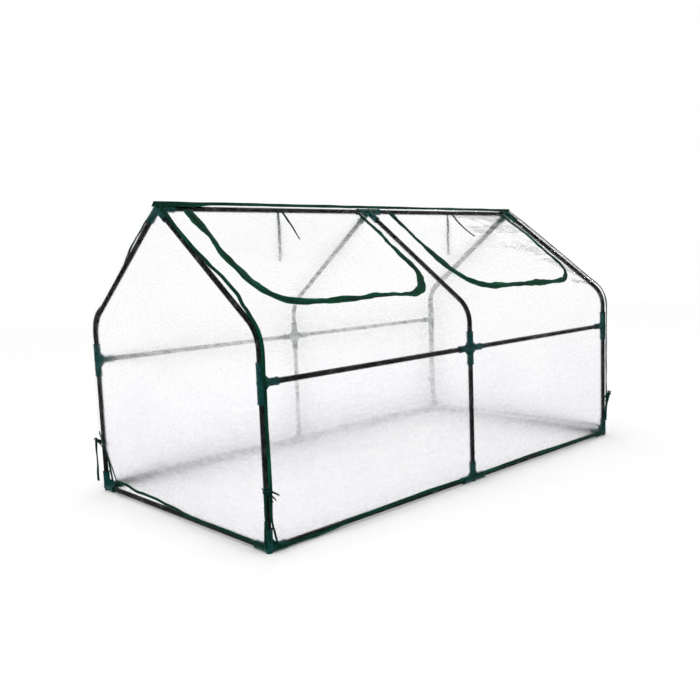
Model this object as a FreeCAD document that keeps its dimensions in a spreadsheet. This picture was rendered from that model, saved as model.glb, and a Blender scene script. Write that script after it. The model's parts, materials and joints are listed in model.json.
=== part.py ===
import FreeCAD, Part
import math
import os
import Sketcher

# Mini greenhouse: a steel tube frame with push-fit plastic connectors under a clear film cover
# that has two zipped windows.  Row frame in millimetres: X along the ridge, -Y to the front,
# Z up, origin on the ground under the middle of the frame.

doc = FreeCAD.newDocument("greenhouse")
X_AXIS = FreeCAD.Vector(1, 0, 0)
Z_AXIS = FreeCAD.Vector(0, 0, 1)

# ---------------------------------------------------------------- driving dimensions

DRIVING = {
    # frame, between tube centrelines
    "arch_span": 1750.0,
    "frame_width": 918.0,
    "base_z": 12.0,
    "side_rail_z": 456.0,
    "eave_z": 588.0,
    "ridge_z": 936.0,
    "eave_radius": 100.0,
    # tube
    "tube_radius": 8.0,
    "tube_bore_radius": 7.0,
    # push-fit connector
    "socket_radius": 11.0,
    "socket_bore_radius": 8.2,
    "socket_length": 55.0,
    "socket_bore_start": 14.0,
    "hub_radius": 12.0,
    "rim_radius": 11.7,
    "rim_length": 5.0,
    "web_reach": 36.0,
    "web_thickness": 4.0,
    "foot_radius": 9.0,
    "foot_height": 5.0,
    "tube_inset": 15.0,
    # cover, as distances out from the tube centrelines
    "film_in": 12.0,
    "film_out": 13.0,
    "tape_in": 13.1,
    "tape_out": 14.0,
    "film_bottom": 2.0,
    "tape_bottom": 1.0,
    "hem_height": 20.0,
    "binding_width": 22.0,
    "ridge_leg": 24.0,
    "ridge_seam_height": 5.0,
    "ridge_seam_half": 1.2,
    "panel_gap": 0.5,
    "eave_lap": 8.0,
    # windows, on the front roof slope: lengths are measured down the slope from the ridge line
    "zip_half_width": 353.0,
    "zip_bottom": 492.0,
    "zip_corner_radius": 148.0,
    "zip_top": 25.0,
    "teeth_top": 27.0,
    "zip_tape_out": 15.0,
    "coil_half": 2.5,
    "coil_height": 2.5,
    "flap_inset": 5.5,
    "flap_level": 13.4,
    "flap_thickness": 1.6,
    "flap_hinge_start": 128.0,
    "flap_joint_half_gap": 0.4,
    "cut_margin": 3.5,
    # zip slider and pull tab
    "slider_half_width": 5.0,
    "slider_length": 14.0,
    "slider_start": 37.0,
    "slider_top": 18.0,
    "ear_inner": 2.2,
    "ear_outer": 3.4,
    "ear_length": 4.0,
    "pin_z": 20.4,
    "pin_radius": 0.8,
    "barrel_radius": 1.9,
    "barrel_bore": 1.1,
    "tab_width": 8.0,
    "tab_neck_half": 1.9,
    "tab_shoulder": 5.0,
    "tab_shoulder_low": 8.0,
    "tab_length": 28.0,
    "tab_corner": 2.0,
    "tab_thickness": 1.2,
    "band_height": 4.0,
    # ties
    "tie_radius": 2.5,
    "knot_radius": 6.0,
    "knot_height": 18.0,
    "tie_gap": 0.5,
    "knot_offset": 5.0,
    "knot_z": 178.0,
}

# Widths of the strips that the moving part of a window flap folds into when it is rolled up, from
# the ridge side down.  Each is narrower than the one two before it, so the turns nest and stay
# clear of each other and of the roof all the way up.  One more strip, the free edge, takes what
# is left.
STRIP_WIDTHS = [74.0, 64.0, 66.0, 52.0, 58.0]


def derived(d):
    """The sizes that follow from the driving ones, by name."""
    half = d["frame_width"] / 2
    rise = d["ridge_z"] - d["eave_z"]
    angle = math.atan2(rise, half)
    slope = math.hypot(rise, half)
    bend = math.radians(90) - angle
    tangent = d["eave_radius"] * math.tan(bend / 2)
    out = {
        "half_span": d["arch_span"] / 2,
        "half_width": half,
        "roof_angle": math.degrees(angle),
        "rafter_y": half - d["tube_inset"] * math.cos(angle),
        "rafter_z": d["ridge_z"] - d["tube_inset"] * math.sin(angle)
        - d["side_rail_z"] - d["tube_inset"],
        "bend_z": d["eave_z"] - d["side_rail_z"] - d["tube_inset"],
        "bay_tube": d["arch_span"] / 2 - 2 * d["tube_inset"],
        "end_tube": d["frame_width"] - 2 * d["tube_inset"],
        "lower_post": d["side_rail_z"] - d["base_z"] - 2 * d["tube_inset"],
        "window_x": d["arch_span"] / 4,
        "socket_bore_length": d["socket_length"] - d["socket_bore_start"] + 1,
        "cut_bottom": -5.0,
        "zero": 0.0,
        "slider_channel_half": d["coil_half"] + 0.6,
        "slider_low": d["tape_out"] + 0.5,
        "slider_roof": d["tape_in"] + d["coil_height"] + 0.5,
        "pin_length": 2 * d["ear_inner"] + d["ear_outer"] - d["ear_inner"],
        "barrel_length": 2 * d["ear_inner"] - 0.6,
        "tab_half": d["tab_width"] / 2,
        "ear_top": d["pin_z"] + 1.6,
    }
    for layer in ("film_in", "film_out", "tape_in", "tape_out"):
        off = d[layer]
        out[layer + "_y"] = half + off
        out[layer + "_x"] = d["arch_span"] / 2 + off
        out[layer + "_radius"] = d["eave_radius"] + off
        out[layer + "_apex_z"] = d["ridge_z"] + off / math.cos(angle)
        out[layer + "_eave_z"] = out[layer + "_apex_z"] - (half + off) * math.tan(angle)
    inner = -(d["binding_width"] - d["tape_out"])
    out["binding_inner_y"] = half + inner
    out["binding_inner_apex_z"] = d["ridge_z"] + inner / math.cos(angle)
    out["binding_inner_eave_z"] = (
        out["binding_inner_apex_z"] - out["binding_inner_y"] * math.tan(angle)
    )
    out["binding_inner_radius"] = d["eave_radius"] + inner
    out["panel_half"] = out["film_in_x"] - d["panel_gap"]
    out["panel_length"] = 2 * out["panel_half"]
    out["film_thickness"] = d["film_out"] - d["film_in"]
    out["tape_thickness"] = d["tape_out"] - d["tape_in"]
    out["strip_half_x"] = out["tape_out_x"] - d["binding_width"] - d["panel_gap"]
    out["strip_length"] = 2 * out["strip_half_x"]
    out["end_hem_half"] = out["binding_inner_y"] - d["panel_gap"]
    out["end_hem_length"] = 2 * out["end_hem_half"]
    # the wall film turns onto the roof and meets the roof film just above the eave bend
    wall_end = slope - tangent - d["eave_lap"]
    out["roof_flat_end"] = wall_end - 0.2
    out["roof_flat_top"] = 8.0
    for layer in ("film_in", "film_out"):
        out[layer + "_bend_y"] = wall_end * math.cos(angle) + d[layer] * math.sin(angle)
        out[layer + "_bend_z"] = (
            d["ridge_z"] - wall_end * math.sin(angle) + d[layer] * math.cos(angle)
        )
    for layer in ("tape_in", "tape_out"):
        s = d["ridge_leg"]
        out[layer + "_leg_y"] = s * math.cos(angle) + d[layer] * math.sin(angle)
        out[layer + "_leg_z"] = d["ridge_z"] - s * math.sin(angle) + d[layer] * math.cos(angle)
    out["seam_foot_z"] = out["tape_out_apex_z"] - d["ridge_seam_half"] * math.tan(angle)
    out["seam_top_z"] = out["tape_out_apex_z"] + d["ridge_seam_height"]
    half_zip = d["zip_half_width"]
    low = d["zip_bottom"]
    for name, off in (
        ("zip_outer", d["zip_tape_out"]),
        ("coil_outer", d["coil_half"]),
        ("coil_inner", -d["coil_half"]),
        ("tape_edge", -d["coil_half"] - 0.4),
        ("flap", -d["flap_inset"]),
        ("cut", d["cut_margin"]),
    ):
        out[name + "_half"] = half_zip + off
        out[name + "_low"] = low + off
        out[name + "_radius"] = d["zip_corner_radius"] + off
    out["cut_top"] = d["flap_hinge_start"] - d["flap_joint_half_gap"]
    out["cut_far"] = out["window_x"] + out["cut_half"]
    out["cut_near"] = out["window_x"] - out["cut_half"]
    out["flap_top"] = d["flap_hinge_start"]
    out["flap_box_length"] = 2 * half_zip
    for i, width in enumerate(STRIP_WIDTHS):
        out["strip_%d_width" % (i + 1)] = width - 2 * d["flap_joint_half_gap"]
    last = out["flap_low"] - d["flap_hinge_start"] - sum(STRIP_WIDTHS)
    out["strip_%d_width" % (len(STRIP_WIDTHS) + 1)] = last
    return out


V = dict(DRIVING)
V.update(derived(DRIVING))

dims = doc.addObject("Spreadsheet::Sheet", "dims")
for row, name in enumerate(V, start=1):
    dims.set("A%d" % row, name)
    dims.set("B%d" % row, repr(round(V[name], 6)))
    dims.setAlias("B%d" % row, name)
doc.recompute()

# ---------------------------------------------------------------- helpers


def value(name):
    """A sheet value; a leading minus sign negates it."""
    if name.startswith("-"):
        return -V[name[1:]]
    return V[name]


def cell(name):
    """The expression for a sheet value; a leading minus sign negates it."""
    if name.startswith("-"):
        return "-dims." + name[1:]
    return "dims." + name


def place(x=0.0, y=0.0, z=0.0, turn=0.0, tilt=0.0):
    """A placement that tilts about X, then turns about Z, then moves."""
    rotation = FreeCAD.Rotation(Z_AXIS, turn).multiply(FreeCAD.Rotation(X_AXIS, tilt))
    return FreeCAD.Placement(FreeCAD.Vector(x, y, z), rotation)


def roof_place(x=0.0, out=0.0, turn=0.0):
    """A frame on a roof slope: X along the ridge, Y up the slope, Z out of it."""
    ridge = place(0, 0, V["ridge_z"], turn, V["roof_angle"])
    return ridge.multiply(FreeCAD.Placement(FreeCAD.Vector(x, 0, out), FreeCAD.Rotation()))


def new_body(label, placement):
    body = doc.addObject("PartDesign::Body", "body_" + label)
    body.Label = label
    body.Placement = placement
    return body


def new_sketch(body, role):
    sketch = body.newObject("Sketcher::SketchObject", "sketch_" + body.Label)
    plane = [f for f in body.Origin.OriginFeatures if f.Role == role][0]
    sketch.AttachmentSupport = [(plane, "")]
    sketch.MapMode = "FlatFace"
    return sketch


def circle(sketch, radius, at=(0.0, 0.0)):
    """A circle with its radius from the sheet, centred on a fixed point."""
    centre = FreeCAD.Vector(at[0], at[1], 0)
    index = sketch.addGeometry(Part.Circle(centre, Z_AXIS, value(radius)), False)
    if at == (0.0, 0.0):
        sketch.addConstraint(Sketcher.Constraint("Coincident", index, 3, -1, 1))
    else:
        sketch.addConstraint(Sketcher.Constraint("DistanceX", -1, 1, index, 3, at[0]))
        sketch.addConstraint(Sketcher.Constraint("DistanceY", -1, 1, index, 3, at[1]))
    size = sketch.addConstraint(Sketcher.Constraint("Radius", index, value(radius)))
    sketch.renameConstraint(size, "radius_%d" % index)
    sketch.setExpression("Constraints.radius_%d" % index, cell(radius))


def fix_point(sketch, geometry, end, x, y):
    """Holds a point at two sheet values."""
    for kind, name in (("DistanceX", x), ("DistanceY", y)):
        made = sketch.addConstraint(Sketcher.Constraint(kind, -1, 1, geometry, end, value(name)))
        label = "%s_%d_%d" % (kind, geometry, end)
        sketch.renameConstraint(made, label)
        sketch.setExpression("Constraints." + label, cell(name))


def outline(sketch, corners, closed=True):
    """Straight sides through corners given as sheet names (x, y) or, rounded, (x, y, radius)."""
    points = [FreeCAD.Vector(value(c[0]), value(c[1]), 0) for c in corners]
    count = len(corners)
    starts = list(points)
    ends = list(points)
    arcs = {}
    for i, corner in enumerate(corners):
        if len(corner) < 3:
            continue
        before = (points[i - 1] - points[i]).normalize()
        after = (points[(i + 1) % count] - points[i]).normalize()
        radius = value(corner[2])
        half_angle = before.getAngle(after) / 2
        back = radius / math.tan(half_angle)
        ends[i] = points[i] + before * back
        starts[i] = points[i] + after * back
        middle = (before + after).normalize()
        centre = points[i] + middle * (radius / math.sin(half_angle))
        arcs[i] = Part.Arc(ends[i], centre - middle * radius, starts[i])
    sides = count if closed else count - 1
    lines = []
    for i in range(sides):
        line = Part.LineSegment(starts[i], ends[(i + 1) % count])
        lines.append(sketch.addGeometry(line, False))
    for i in range(count):
        if not closed and i in (0, count - 1):
            side, end = (lines[0], 1) if i == 0 else (lines[-1], 2)
            fix_point(sketch, side, end, corners[i][0], corners[i][1])
            continue
        before = lines[i - 1]
        after = lines[i % len(lines)]
        if i not in arcs:
            sketch.addConstraint(Sketcher.Constraint("Coincident", before, 2, after, 1))
            fix_point(sketch, after, 1, corners[i][0], corners[i][1])
            continue
        arc = sketch.addGeometry(arcs[i], False)
        start_first = (sketch.getPoint(arc, 1) - ends[i]).Length < 1e-6
        first, last = (1, 2) if start_first else (2, 1)
        sketch.addConstraint(Sketcher.Constraint("Tangent", before, 2, arc, first))
        sketch.addConstraint(Sketcher.Constraint("Tangent", arc, last, after, 1))
        size = sketch.addConstraint(Sketcher.Constraint("Radius", arc, value(corners[i][2])))
        sketch.renameConstraint(size, "radius_%d" % arc)
        sketch.setExpression("Constraints.radius_%d" % arc, cell(corners[i][2]))
        corner = sketch.addGeometry(Part.Point(points[i]), True)
        sketch.addConstraint(Sketcher.Constraint("PointOnObject", corner, 1, before))
        sketch.addConstraint(Sketcher.Constraint("PointOnObject", corner, 1, after))
        fix_point(sketch, corner, 1, corners[i][0], corners[i][1])
    return lines


def pad(body, sketch, length, middle=False, reverse=False):
    made = body.newObject("PartDesign::Pad", "pad_" + body.Label)
    made.Profile = sketch
    made.setExpression("Length", cell(length))
    if middle:
        made.Midplane = True
    made.Reversed = reverse
    return made


def pocket(body, sketch, length=None, reverse=False):
    """Cuts a sketch to a depth from the sheet, or through everything both ways."""
    doc.recompute()
    before = body.Shape.Volume
    made = body.newObject("PartDesign::Pocket", "pocket_" + body.Label)
    made.Profile = sketch
    if length is None:
        made.Type = 1
        made.Midplane = True
    else:
        made.setExpression("Length", cell(length))
        made.Reversed = reverse
    doc.recompute()
    if body.Shape.Volume >= before:
        raise RuntimeError(body.Label + ": a pocket cut nothing")
    return made


nodes = []


def keep(piece):
    """Marks an object as a sub-part to export."""
    nodes.append(piece)
    return piece


def group(label, pieces):
    """One sub-part made of several equal, separate solids."""
    made = doc.addObject("Part::Compound", "group_" + label)
    made.Label = label
    made.Links = pieces
    return keep(made)


# ---------------------------------------------------------------- tubes


def straight_tube(label, length, placement):
    body = new_body(label, placement)
    section = new_sketch(body, "XY_Plane")
    circle(section, "tube_radius")
    circle(section, "tube_bore_radius")
    pad(body, section, length)
    return body


def along_x(x, y, z):
    """A placement that lays a piece's Z axis along +X."""
    turn = FreeCAD.Rotation(FreeCAD.Vector(0, 1, 0), 90)
    return FreeCAD.Placement(FreeCAD.Vector(x, y, z), turn)


def along_y(x, y, z):
    """A placement that lays a piece's Z axis along +Y."""
    turn = FreeCAD.Rotation(X_AXIS, -90)
    return FreeCAD.Placement(FreeCAD.Vector(x, y, z), turn)


def bay_tubes(label, y, z):
    """The two equal tubes that run from arch to arch at one height on one side."""
    left = -V["half_span"] + V["tube_inset"]
    right = V["tube_inset"]
    pieces = [
        straight_tube(label + "_in_left_bay", "bay_tube", along_x(left, y, z)),
        straight_tube(label + "_in_right_bay", "bay_tube", along_x(right, y, z)),
    ]
    group(label, pieces)


def arch_tube(label, x, front):
    """A tube from a side connector up over the eave bend to the ridge."""
    side = -1 if front else 1
    base_z = V["side_rail_z"] + V["tube_inset"]
    body = new_body(label, place(x, side * V["half_width"], base_z, 0 if front else 180))
    section = new_sketch(body, "XY_Plane")
    circle(section, "tube_radius")
    circle(section, "tube_bore_radius")
    spine = new_sketch(body, "YZ_Plane")
    outline(
        spine,
        [("zero", "zero"), ("zero", "bend_z", "eave_radius"), ("rafter_y", "rafter_z")],
        closed=False,
    )
    pipe = body.newObject("PartDesign::AdditivePipe", "pipe_" + label)
    pipe.Profile = section
    pipe.Spine = (spine, [])
    return keep(body)


def make_tubes():
    half = V["half_width"]
    for side, y in (("front", -half), ("back", half)):
        bay_tubes("base_tubes_" + side, y, V["base_z"])
        bay_tubes("side_rails_" + side, y, V["side_rail_z"])
    bay_tubes("ridge_tubes", 0, V["ridge_z"])
    for side, x in (("left", -V["half_span"]), ("right", V["half_span"])):
        start = -half + V["tube_inset"]
        tube = straight_tube("base_tube_" + side + "_end", "end_tube", along_y(x, start, V["base_z"]))
        keep(tube)
    for side, y in (("front", -half), ("back", half)):
        posts = []
        for name, x in ARCHES:
            low = V["base_z"] + V["tube_inset"]
            posts.append(straight_tube("lower_post_%s_%s" % (side, name), "lower_post", place(x, y, low)))
            arch_tube("arch_tube_%s_%s" % (side, name), x, side == "front")
        group("lower_posts_" + side, posts)


ARCHES = (("left", -V["half_span"]), ("middle", 0.0), ("right", V["half_span"]))

# ---------------------------------------------------------------- connectors

UP = (0.0, 0.0, 1.0)
DOWN = (0.0, 0.0, -1.0)
LEFT = (-1.0, 0.0, 0.0)
RIGHT = (1.0, 0.0, 0.0)
REAR = (0.0, 1.0, 0.0)
ROOF = math.radians(V["roof_angle"])
RAFTER_FRONT = (0.0, -math.cos(ROOF), -math.sin(ROOF))
RAFTER_BACK = (0.0, math.cos(ROOF), -math.sin(ROOF))


def pointed(direction, along=0.0):
    """A placement at a distance along a direction, with Z along it."""
    vector = FreeCAD.Vector(*direction)
    return FreeCAD.Placement(vector * along, FreeCAD.Rotation(Z_AXIS, vector))


def cylinder(name, radius, height, placement):
    made = doc.addObject("Part::Cylinder", name)
    made.setExpression("Radius", cell(radius))
    made.setExpression("Height", cell(height))
    made.Placement = placement
    return made


def web(name, first, second):
    """A triangular plate between two sockets."""
    a = FreeCAD.Vector(*first)
    b = FreeCAD.Vector(*second)
    normal = a.cross(b).normalize()
    across = normal.cross(a)
    spread = a.getAngle(b)
    made = doc.addObject("Part::Wedge", name)
    made.setExpression("Xmax", "dims.web_reach")
    made.Xmin = 0
    made.Ymin = 0
    made.setExpression("Ymax", "dims.web_reach * %r" % math.sin(spread))
    made.setExpression("X2min", "dims.web_reach * %r" % math.cos(spread))
    made.setExpression("X2max", "dims.web_reach * %r" % math.cos(spread))
    for low in ("Zmin", "Z2min"):
        made.setExpression(low, "-dims.web_thickness / 2")
    for high in ("Zmax", "Z2max"):
        made.setExpression(high, "dims.web_thickness / 2")
    made.Placement = FreeCAD.Placement(FreeCAD.Vector(), FreeCAD.Rotation(a, across, normal, "ZXY"))
    return made


def connector(label, placement, arms, webs, foot=False):
    """A hub with a socket along each arm and a web between each listed pair of arms."""
    hub = doc.addObject("Part::Sphere", label + "_hub")
    hub.setExpression("Radius", "dims.hub_radius")
    solids = [hub]
    bores = []
    for i, arm in enumerate(arms):
        at = V["socket_length"] - V["rim_length"]
        tag = "%s_%d" % (label, i)
        solids.append(cylinder(tag + "_socket", "socket_radius", "socket_length", pointed(arm)))
        solids.append(cylinder(tag + "_rim", "rim_radius", "rim_length", pointed(arm, at)))
        start = pointed(arm, V["socket_bore_start"])
        bores.append(cylinder(tag + "_bore", "socket_bore_radius", "socket_bore_length", start))
    for i, pair in enumerate(webs):
        solids.append(web("%s_web_%d" % (label, i), arms[pair[0]], arms[pair[1]]))
    if foot:
        low = FreeCAD.Placement(FreeCAD.Vector(0, 0, -V["base_z"]), FreeCAD.Rotation())
        solids.append(cylinder(label + "_foot", "foot_radius", "foot_height", low))
    outside = doc.addObject("Part::MultiFuse", label + "_outside")
    outside.Shapes = solids
    inside = doc.addObject("Part::MultiFuse", label + "_inside")
    inside.Shapes = bores
    made = doc.addObject("Part::Cut", "cut_" + label)
    made.Base = outside
    made.Tool = inside
    made.Label = label
    made.Placement = placement
    return made


def make_connectors():
    half_x = V["half_span"]
    half_y = V["half_width"]
    corner_arms = [UP, RIGHT, REAR]
    corner_webs = [(0, 1), (0, 2), (1, 2)]
    for side, x, turns in (("left", -half_x, (0, -90)), ("right", half_x, (90, 180))):
        pieces = []
        for name, y, turn in (("front", -half_y, turns[0]), ("back", half_y, turns[1])):
            at = place(x, y, V["base_z"], turn)
            label = "base_corner_%s_%s" % (name, side)
            pieces.append(connector(label, at, corner_arms, corner_webs, foot=True))
        group("base_corner_connectors_" + side, pieces)
    tees = []
    crosses = []
    side_tees = []
    for name, y in (("front", -half_y), ("back", half_y)):
        at = place(0, y, V["base_z"])
        arms = [UP, LEFT, RIGHT]
        tees.append(connector("base_tee_" + name, at, arms, [(0, 1), (0, 2)], foot=True))
        at = place(0, y, V["side_rail_z"])
        arms = [UP, RIGHT, DOWN, LEFT]
        webs = [(0, 1), (1, 2), (2, 3), (3, 0)]
        crosses.append(connector("side_cross_" + name, at, arms, webs))
        for side, x, turn in (("left", -half_x, 0), ("right", half_x, 180)):
            at = place(x, y, V["side_rail_z"], turn)
            label = "side_tee_%s_%s" % (name, side)
            side_tees.append(connector(label, at, [UP, RIGHT, DOWN], [(0, 1), (1, 2)]))
    group("base_tee_connectors", tees)
    group("side_cross_connectors", crosses)
    group("side_tee_connectors", side_tees)
    ends = []
    for side, x, turn in (("left", -half_x, 0), ("right", half_x, 180)):
        at = place(x, 0, V["ridge_z"], turn)
        arms = [RIGHT, RAFTER_FRONT, RAFTER_BACK]
        ends.append(connector("ridge_end_" + side, at, arms, [(0, 1), (0, 2), (1, 2)]))
    group("ridge_end_connectors", ends)
    at = place(0, 0, V["ridge_z"])
    arms = [RIGHT, RAFTER_FRONT, RAFTER_BACK, LEFT]
    webs = [(0, 1), (0, 2), (3, 1), (3, 2)]
    keep(connector("ridge_middle_connector", at, arms, webs))


# ---------------------------------------------------------------- film cover


def end_outline(prefix, bottom):
    """The gable outline at one distance from the tube centrelines."""
    y = prefix + "_y"
    eave = prefix + "_eave_z"
    radius = prefix + "_radius"
    return [
        ("-" + y, bottom),
        (y, bottom),
        (y, eave, radius),
        ("zero", prefix + "_apex_z"),
        ("-" + y, eave, radius),
    ]


def wall_panel(label, turn):
    """A wall sheet with its eave bend, as one thin section along the ridge direction."""
    body = new_body(label, place(turn=turn))
    section = new_sketch(body, "YZ_Plane")
    outline(
        section,
        [
            ("-film_in_y", "film_bottom"),
            ("-film_in_y", "film_in_eave_z", "film_in_radius"),
            ("-film_in_bend_y", "film_in_bend_z"),
            ("-film_out_bend_y", "film_out_bend_z"),
            ("-film_out_y", "film_out_eave_z", "film_out_radius"),
            ("-film_out_y", "film_bottom"),
        ],
    )
    pad(body, section, "panel_length", middle=True)
    return keep(body)


def roof_panel(label, turn, windows):
    """A flat roof sheet; the front one has its two window openings."""
    body = new_body(label, roof_place(0, V["film_in"], turn))
    sheet = new_sketch(body, "XY_Plane")
    outline(
        sheet,
        [
            ("-panel_half", "-roof_flat_end"),
            ("panel_half", "-roof_flat_end"),
            ("panel_half", "roof_flat_top"),
            ("-panel_half", "roof_flat_top"),
        ],
    )
    pad(body, sheet, "film_thickness")
    if windows:
        opening = new_sketch(body, "XY_Plane")
        for low, high in (("-cut_far", "-cut_near"), ("cut_near", "cut_far")):
            outline(
                opening,
                [
                    (low, "-cut_top"),
                    (low, "-cut_low", "cut_radius"),
                    (high, "-cut_low", "cut_radius"),
                    (high, "-cut_top"),
                ],
            )
        pocket(body, opening)
    return keep(body)


def end_panel(label, turn):
    body = new_body(label, place(turn=turn).multiply(place(-V["film_out_x"])))
    sheet = new_sketch(body, "YZ_Plane")
    outline(sheet, end_outline("film_out", "film_bottom"))
    pad(body, sheet, "film_thickness")
    return keep(body)


def gable_binding(label, turn):
    """The folded tape that joins an end panel to the walls and roof, an L all the way round."""
    body = new_body(label, place(turn=turn).multiply(place(-V["tape_out_x"])))
    outer = new_sketch(body, "YZ_Plane")
    outline(outer, end_outline("tape_out", "tape_bottom"))
    pad(body, outer, "binding_width")
    through = new_sketch(body, "YZ_Plane")
    outline(through, end_outline("binding_inner", "cut_bottom"))
    pocket(body, through)
    skirt = new_sketch(body, "YZ_Plane")
    skirt.AttachmentOffset = FreeCAD.Placement(
        FreeCAD.Vector(0, 0, V["tape_thickness"]), FreeCAD.Rotation()
    )
    outline(skirt, end_outline("tape_in", "cut_bottom"))
    pocket(body, skirt, "binding_width", reverse=True)
    return keep(body)


def ridge_binding():
    body = new_body("ridge_binding", place())
    section = new_sketch(body, "YZ_Plane")
    right = [
        ("ridge_seam_half", "seam_top_z"),
        ("ridge_seam_half", "seam_foot_z"),
        ("tape_out_leg_y", "tape_out_leg_z"),
        ("tape_in_leg_y", "tape_in_leg_z"),
        ("zero", "tape_in_apex_z"),
    ]
    left = [("-" + y, z) for y, z in reversed(right[:-1])]
    outline(section, right + left)
    pad(body, section, "strip_length", middle=True)
    return keep(body)


def box(name, length, width, height, placement):
    made = doc.addObject("Part::Box", name)
    made.setExpression("Length", cell(length))
    made.setExpression("Width", cell(width))
    made.setExpression("Height", cell(height))
    made.Placement = placement
    return made


def hem_binding():
    """The tape round the bottom edge, one straight piece on each side."""
    z = V["tape_bottom"]
    y = V["tape_out_y"]
    x = V["tape_out_x"]
    thick = V["tape_thickness"]
    pieces = [
        box("hem_front", "strip_length", "tape_thickness", "hem_height", place(-V["strip_half_x"], -y, z)),
        box("hem_back", "strip_length", "tape_thickness", "hem_height",
            place(-V["strip_half_x"], y - thick, z)),
        box("hem_left", "tape_thickness", "end_hem_length", "hem_height", place(-x, -V["end_hem_half"], z)),
        box("hem_right", "tape_thickness", "end_hem_length", "hem_height",
            place(x - thick, -V["end_hem_half"], z)),
    ]
    group("hem_binding", pieces)


# ---------------------------------------------------------------- windows


def u_band(sketch, outer, inner, top="zip_top"):
    """A U-shaped band with its open end towards the ridge."""
    outline(
        sketch,
        [
            ("-" + outer + "_half", "-" + top),
            ("-" + outer + "_half", "-" + outer + "_low", outer + "_radius"),
            (outer + "_half", "-" + outer + "_low", outer + "_radius"),
            (outer + "_half", "-" + top),
            (inner + "_half", "-" + top),
            (inner + "_half", "-" + inner + "_low", inner + "_radius"),
            ("-" + inner + "_half", "-" + inner + "_low", inner + "_radius"),
            ("-" + inner + "_half", "-" + top),
        ],
    )


def window_zip(side, x):
    """The outer half of a window's zip: its tape, and the closed row of teeth along its edge."""
    body = new_body("window_zip_" + side, roof_place(x, V["tape_in"]))
    tape = new_sketch(body, "XY_Plane")
    u_band(tape, "zip_outer", "tape_edge")
    pad(body, tape, "tape_thickness")
    teeth = new_sketch(body, "XY_Plane")
    u_band(teeth, "coil_outer", "coil_inner", "teeth_top")
    pad(body, teeth, "coil_height")
    return keep(body)


def window_flap(side, x):
    """The flap below its sewn-in head, as strips that fold round a roll at their shared edges."""
    sheet = new_body("flap_sheet_" + side, roof_place(x, V["flap_level"]))
    shape = new_sketch(sheet, "XY_Plane")
    outline(
        shape,
        [
            ("-flap_half", "-flap_top"),
            ("-flap_half", "-flap_low", "flap_radius"),
            ("flap_half", "-flap_low", "flap_radius"),
            ("flap_half", "-flap_top"),
        ],
    )
    pad(sheet, shape, "flap_thickness")
    low = V["flap_hinge_start"]
    gap = V["flap_joint_half_gap"]
    for i in range(len(STRIP_WIDTHS) + 1):
        low += V["strip_%d_width" % (i + 1)] + 2 * gap
        corner = roof_place(x, V["flap_level"]).multiply(place(-V["flap_half"] - 1, gap - low, -1))
        name = "window_flap_%s_strip_%d" % (side, i + 1)
        band = box(name + "_band", "flap_box_length", "strip_%d_width" % (i + 1), "band_height", corner)
        strip = doc.addObject("Part::Common", "common_" + name)
        strip.Base = sheet
        strip.Tool = band
        strip.Label = name
        keep(strip)


def zip_slider(side, x):
    """A slider: a channel over the teeth, with two ears that hold the pull tab's pin."""
    at = roof_place(x + V["zip_half_width"], 0).multiply(place(0, -V["slider_start"], 0))
    body = new_body("zip_slider_" + side, at)
    section = new_sketch(body, "XZ_Plane")
    outline(
        section,
        [
            ("-slider_half_width", "slider_low"),
            ("-slider_channel_half", "slider_low"),
            ("-slider_channel_half", "slider_roof"),
            ("slider_channel_half", "slider_roof"),
            ("slider_channel_half", "slider_low"),
            ("slider_half_width", "slider_low"),
            ("slider_half_width", "slider_top"),
            ("-slider_half_width", "slider_top"),
        ],
    )
    pad(body, section, "slider_length", middle=True)
    ears = new_sketch(body, "XZ_Plane")
    for inner, outer in (("-ear_outer", "-ear_inner"), ("ear_inner", "ear_outer")):
        outline(
            ears,
            [
                (inner, "slider_roof"),
                (outer, "slider_roof"),
                (outer, "ear_top"),
                (inner, "ear_top"),
            ],
        )
    pad(body, ears, "ear_length", middle=True)
    pin = new_sketch(body, "YZ_Plane")
    circle(pin, "pin_radius", (0.0, V["pin_z"]))
    pad(body, pin, "pin_length", middle=True)
    keep(body)

    tab = new_body("zip_pull_tab_" + side, at)
    barrel = new_sketch(tab, "YZ_Plane")
    circle(barrel, "barrel_radius", (0.0, V["pin_z"]))
    pad(tab, barrel, "barrel_length", middle=True)
    plate = new_sketch(tab, "XY_Plane")
    plate.AttachmentOffset = FreeCAD.Placement(
        FreeCAD.Vector(0, 0, V["pin_z"] - V["tab_thickness"] / 2), FreeCAD.Rotation()
    )
    outline(
        plate,
        [
            ("-tab_neck_half", "zero"),
            ("-tab_neck_half", "-tab_shoulder"),
            ("-tab_half", "-tab_shoulder_low"),
            ("-tab_half", "-tab_length", "tab_corner"),
            ("tab_half", "-tab_length", "tab_corner"),
            ("tab_half", "-tab_shoulder_low"),
            ("tab_neck_half", "-tab_shoulder"),
            ("tab_neck_half", "zero"),
        ],
    )
    pad(tab, plate, "tab_thickness")
    hole = new_sketch(tab, "YZ_Plane")
    circle(hole, "barrel_bore", (0.0, V["pin_z"]))
    pocket(tab, hole)
    keep(tab)


# ---------------------------------------------------------------- ties


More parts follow.
